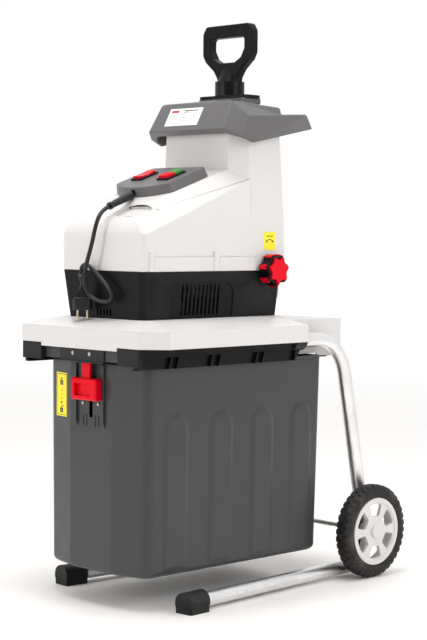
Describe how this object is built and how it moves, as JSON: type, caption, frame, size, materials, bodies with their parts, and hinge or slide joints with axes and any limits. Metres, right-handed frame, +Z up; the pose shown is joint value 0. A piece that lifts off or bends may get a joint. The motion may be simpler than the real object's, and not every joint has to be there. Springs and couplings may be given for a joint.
{
  "type": "wood chipper",
  "caption": "Electric garden shredder on a wheeled tube frame with a pull-out collection box, hooded feed tower with plunger, adjusting knob and hanging mains lead.",
  "frame": {"origin": "on the floor, at the middle of the machine's width and depth", "axes": "+Z up, -Y towards the operator and the collection box's front, +Y towards the wheels, +X towards the adjusting knob"},
  "size_m": [0.434, 0.76, 1.173],
  "materials": {
    "alu_tube": "satin drawn tube",
    "black_rubber": "matt moulded rubber",
    "zinc_steel": "zinc plated",
    "tyre_rubber": "solid rubber, blocked tread",
    "white_plastic": "satin moulded",
    "black_plastic": "fine grain moulded",
    "dark_paint": "satin paint",
    "dark_grey_plastic": "moulded, ribbed",
    "mid_grey_plastic": "satin moulded",
    "red_plastic": "semi gloss",
    "green_plastic": "semi gloss",
    "yellow_label": "printed film",
    "white_label": "printed film",
    "cast_alu": "sand cast",
    "dark_steel": "hardened, oiled",
    "motor_steel": "motor enamel",
    "brass_pin": "nickel over brass",
    "cord_rubber": "rubber sheath"
  },
  "bodies": {
    "machine": {"adjust_label": "yellow_label", "axle_gussets": "dark_paint", "axle_hardware": "zinc_steel", "base_housing": "black_plastic", "bearings": "zinc_steel", "box_rails": "black_plastic", "case_screws": "zinc_steel", "catch_bracket": "dark_paint", "control_pod": "mid_grey_plastic", "cord_boot": "cord_rubber", "cord_tie": "black_rubber", "deck_shell": "white_plastic", "discharge_chute": "black_plastic", "feed_chute": "black_plastic", "foot_caps": "black_rubber", "frame_tubes": "alu_tube", "front_bar": "dark_paint", "gear_case": "cast_alu", "hood": "mid_grey_plastic", "interlock_switch": "black_plastic", "motor_case": "motor_steel", "motor_stator": "motor_steel", "plug_body": "cord_rubber", "plug_pins": "brass_pin", "power_cord": "cord_rubber", "rating_plate": "white_label", "rear_cover": "white_plastic", "roller_case": "cast_alu", "run_capacitor": "motor_steel", "splash_flap": "black_rubber", "switch_cases": "black_plastic", "upper_housing": "white_plastic", "wheel_axle": "zinc_steel"},
    "wheel_left": {"tyre_left": "tyre_rubber", "wheel_hub_left": "white_plastic", "hub_cap_left": "white_plastic"},
    "wheel_right": {"tyre_right": "tyre_rubber", "wheel_hub_right": "white_plastic", "hub_cap_right": "white_plastic"},
    "box": {"collection_box": "dark_grey_plastic", "latch_screws": "zinc_steel", "lock_label": "yellow_label"},
    "latch": {"box_latch": "red_plastic"},
    "plunger": {"plunger_handle": "black_plastic", "plunger_blade": "black_plastic"},
    "knob": {"knob_body": "black_plastic", "knob_face": "red_plastic", "adjusting_spindle": "zinc_steel"},
    "plate": {"pressure_plate": "cast_alu"},
    "motor": {"motor_rotor": "dark_steel", "motor_shaft": "dark_steel", "cooling_fan": "black_plastic"},
    "counter": {"counter_shaft": "dark_steel", "counter_gear": "dark_steel"},
    "roller": {"roller_shaft": "dark_steel", "output_gear": "dark_steel", "cutting_roller": "dark_steel"},
    "stop": {"stop_button": "red_plastic"},
    "start": {"start_button": "green_plastic"},
    "rocker": {"direction_rocker": "red_plastic"}
  },
  "joints": [
    {"name": "wheel_left_spin", "type": "hinge", "parent": "machine", "child": "wheel_left", "pos_m": [-0.1945, 0.28, 0.1], "axis": [1, 0, 0], "continuous": true},
    {"name": "wheel_right_spin", "type": "hinge", "parent": "machine", "child": "wheel_right", "pos_m": [0.1945, 0.28, 0.1], "axis": [1, 0, 0], "continuous": true},
    {"name": "box_slide", "type": "slide", "parent": "machine", "child": "box", "axis": [0, -1, 0], "range_m": [0, 0.45]},
    {"name": "latch_slide", "type": "slide", "parent": "box", "child": "latch", "axis": [0, 0, -1], "range_m": [0, 0.03]},
    {"name": "plunger_lift", "type": "slide", "parent": "machine", "child": "plunger", "axis": [0, 0, 1], "range_m": [0, 0.3]},
    {"name": "knob_turn", "type": "hinge", "parent": "machine", "child": "knob", "pos_m": [0.13, 0.027, 0.6615], "axis": [1, 0, 0], "range_deg": [0, 720]},
    {"name": "plate_slide", "type": "slide", "parent": "machine", "child": "plate", "axis": [1, 0, 0], "range_m": [0, 0.00501]},
    {"name": "motor_spin", "type": "hinge", "parent": "machine", "child": "motor", "pos_m": [-0.028, -0.2, 0.655], "axis": [0, 1, 0], "continuous": true},
    {"name": "counter_spin", "type": "hinge", "parent": "machine", "child": "counter", "pos_m": [0.017, -0.15, 0.69909], "axis": [0, 1, 0], "continuous": true},
    {"name": "roller_spin", "type": "hinge", "parent": "machine", "child": "roller", "pos_m": [-0.028, 0, 0.655], "axis": [0, 1, 0], "continuous": true},
    {"name": "stop_press", "type": "slide", "parent": "machine", "child": "stop", "axis": [0, 0.327, -0.945], "range_m": [0, 0.003], "stiffness_N_per_m": 600},
    {"name": "start_press", "type": "slide", "parent": "machine", "child": "start", "axis": [0, 0.327, -0.945], "range_m": [0, 0.003], "stiffness_N_per_m": 600},
    {"name": "direction_tip", "type": "hinge", "parent": "machine", "child": "rocker", "pos_m": [-0.0395, -0.17041, 0.84843], "axis": [1, 0, 0], "range_deg": [-6, 6]}
  ],
  "couplings": [
    {"joint": "plate_slide", "follows": "knob_turn", "m_per_rad": 0.00039789},
    {"joint": "counter_spin", "follows": "motor_spin", "ratio": -0.16667},
    {"joint": "roller_spin", "follows": "motor_spin", "ratio": 0.027778}
  ]
}
